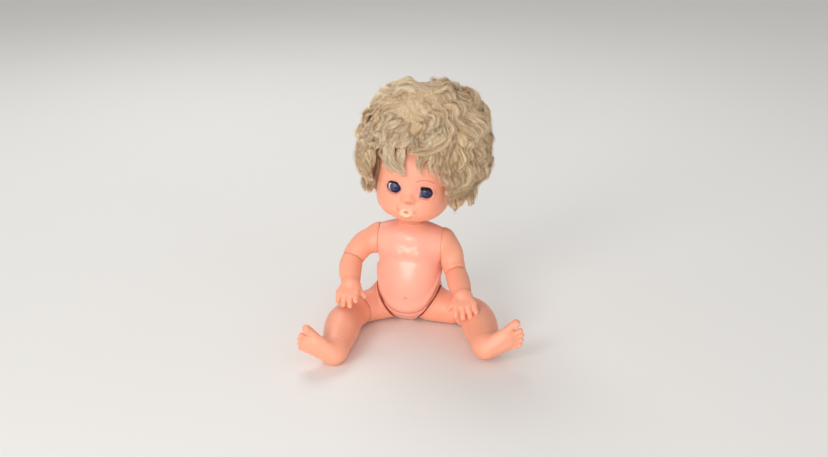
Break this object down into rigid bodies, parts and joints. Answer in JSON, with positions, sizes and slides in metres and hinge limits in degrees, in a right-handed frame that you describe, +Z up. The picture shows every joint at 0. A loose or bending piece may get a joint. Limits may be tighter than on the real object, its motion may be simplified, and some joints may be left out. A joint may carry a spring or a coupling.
{
  "type": "jointed baby doll",
  "caption": "Sitting vinyl baby doll with turning head, arms and legs, rooted curly hair and weighted eyes that close when it lies down.",
  "frame": {"origin": "on the surface the doll sits on, under the middle of its bounding box", "axes": "+Z up, the doll faces -Y, and +X is the doll's own left"},
  "size_m": [0.2214, 0.175, 0.2644],
  "materials": {
    "body": "smooth hard plastic with a soft gloss",
    "skin": "matte soft vinyl",
    "hair": "curly nylon fibre",
    "eye_white": "polished plastic",
    "iris": "polished clear plastic over blue",
    "lashes": "dark bristle",
    "steel": "dull"
  },
  "bodies": {
    "torso": {"torso_front": "body", "torso_back": "body"},
    "head": {"head": "skin", "hair_crown": "hair", "hair_fringe": "hair", "hair_left_side": "hair", "hair_right_side": "hair", "hair_back": "hair", "hair_nape": "hair", "left_eye_housing": "eye_white", "right_eye_housing": "eye_white", "left_eye_axle": "steel", "right_eye_axle": "steel"},
    "left_eye": {"left_eyeball": "eye_white", "left_iris": "iris", "left_eyelashes": "lashes", "left_eye_weight": "steel"},
    "right_eye": {"right_eyeball": "eye_white", "right_iris": "iris", "right_eyelashes": "lashes", "right_eye_weight": "steel"},
    "left_arm": {"left_arm": "skin"},
    "right_arm": {"right_arm": "skin"},
    "left_leg": {"left_leg": "skin"},
    "right_leg": {"right_leg": "skin"}
  },
  "joints": [
    {"name": "neck", "type": "hinge", "parent": "torso", "child": "head", "pos_m": [0.0008, 0.02968, 0.11339], "axis": [0.0432, -0.0061, 0.999], "continuous": true},
    {"name": "left_eye_sleep", "type": "hinge", "parent": "head", "child": "left_eye", "pos_m": [0.01423, -0.00384, 0.1583], "axis": [0.9911, -0.016, -0.1323], "range_deg": [0, 60]},
    {"name": "right_eye_sleep", "type": "hinge", "parent": "head", "child": "right_eye", "pos_m": [-0.01543, 0.00194, 0.16238], "axis": [0.9248, -0.3569, -0.1315], "range_deg": [0, 60]},
    {"name": "left_shoulder", "type": "hinge", "parent": "torso", "child": "left_arm", "pos_m": [0.03297, 0.02516, 0.08945], "axis": [-0.9893, 0.139, 0.0436], "range_deg": [0, 80]},
    {"name": "right_shoulder", "type": "hinge", "parent": "torso", "child": "right_arm", "pos_m": [-0.03331, 0.03447, 0.09237], "axis": [-0.9893, 0.139, 0.0436], "range_deg": [0, 80]},
    {"name": "left_hip", "type": "hinge", "parent": "torso", "child": "left_leg", "pos_m": [0.02171, 0.02674, 0.02389], "axis": [0.8161, -0.1147, -0.5664], "range_deg": [0, 90]},
    {"name": "right_hip", "type": "hinge", "parent": "torso", "child": "right_leg", "pos_m": [-0.02775, 0.03369, 0.02607], "axis": [0.8619, -0.1211, 0.4924], "range_deg": [0, 90]}
  ]
}
